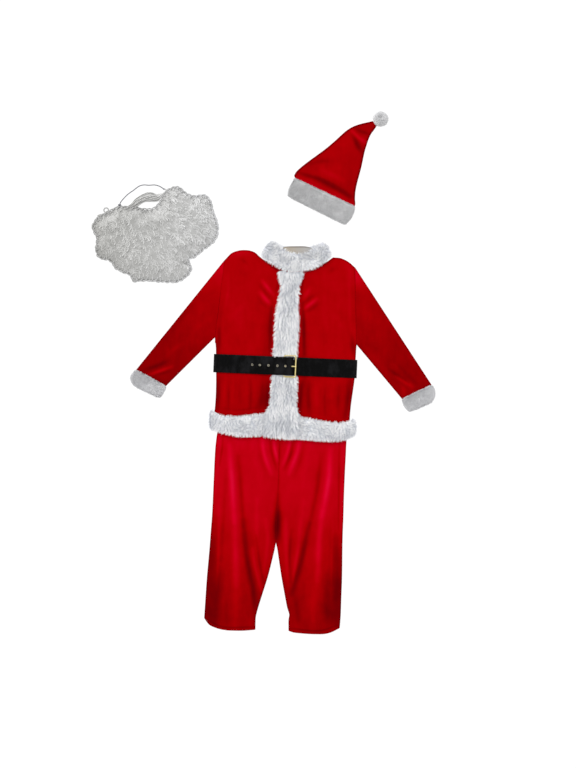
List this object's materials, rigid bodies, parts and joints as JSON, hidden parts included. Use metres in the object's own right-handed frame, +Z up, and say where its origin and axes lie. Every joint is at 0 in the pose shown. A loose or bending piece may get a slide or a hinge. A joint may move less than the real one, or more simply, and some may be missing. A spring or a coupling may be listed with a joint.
{
  "type": "santa suit",
  "caption": "Adult Santa suit laid flat: red velour jacket and trousers with white plush trim, black vinyl belt, red hat and curly white beard.",
  "frame": {"origin": "centre of the laid-out set's bounding box, on the floor that it lies on", "axes": "+Y from the trouser hems to the hat, along the set's length; +X to the wearer's left; +Z up from the floor, out of the suit's front"},
  "size_m": [1.4414, 2.1882, 0.0536],
  "materials": {
    "red_velour": "velour pile with a soft sheen",
    "white_plush": "long white pile",
    "black_vinyl": "satin grained vinyl",
    "brass": "pale polished brass",
    "eyelet_metal": "dull nickel",
    "white_curls": "glossy curled synthetic hair",
    "grey_elastic": "braided elastic"
  },
  "bodies": {
    "root": {"jacket_back": "red_velour", "jacket_front_right": "red_velour", "jacket_front_left": "red_velour", "sleeve_right": "red_velour", "sleeve_left": "red_velour", "trouser_front_right": "red_velour", "trouser_front_left": "red_velour", "trouser_back_right": "red_velour", "trouser_back_left": "red_velour", "trouser_waistband": "red_velour", "hat_cone": "red_velour", "cuff_right": "white_plush", "cuff_left": "white_plush", "collar": "white_plush", "placket": "white_plush", "hem_band": "white_plush", "hat_trim": "white_plush", "pompom": "white_plush", "belt_strap": "black_vinyl", "buckle_frame": "brass", "buckle_prong": "brass", "eyelet_1": "eyelet_metal", "eyelet_2": "eyelet_metal", "eyelet_3": "eyelet_metal", "eyelet_4": "eyelet_metal", "eyelet_5": "eyelet_metal", "beard": "white_curls", "moustache": "white_curls", "beard_elastic": "grey_elastic"}
  },
  "joints": []
}
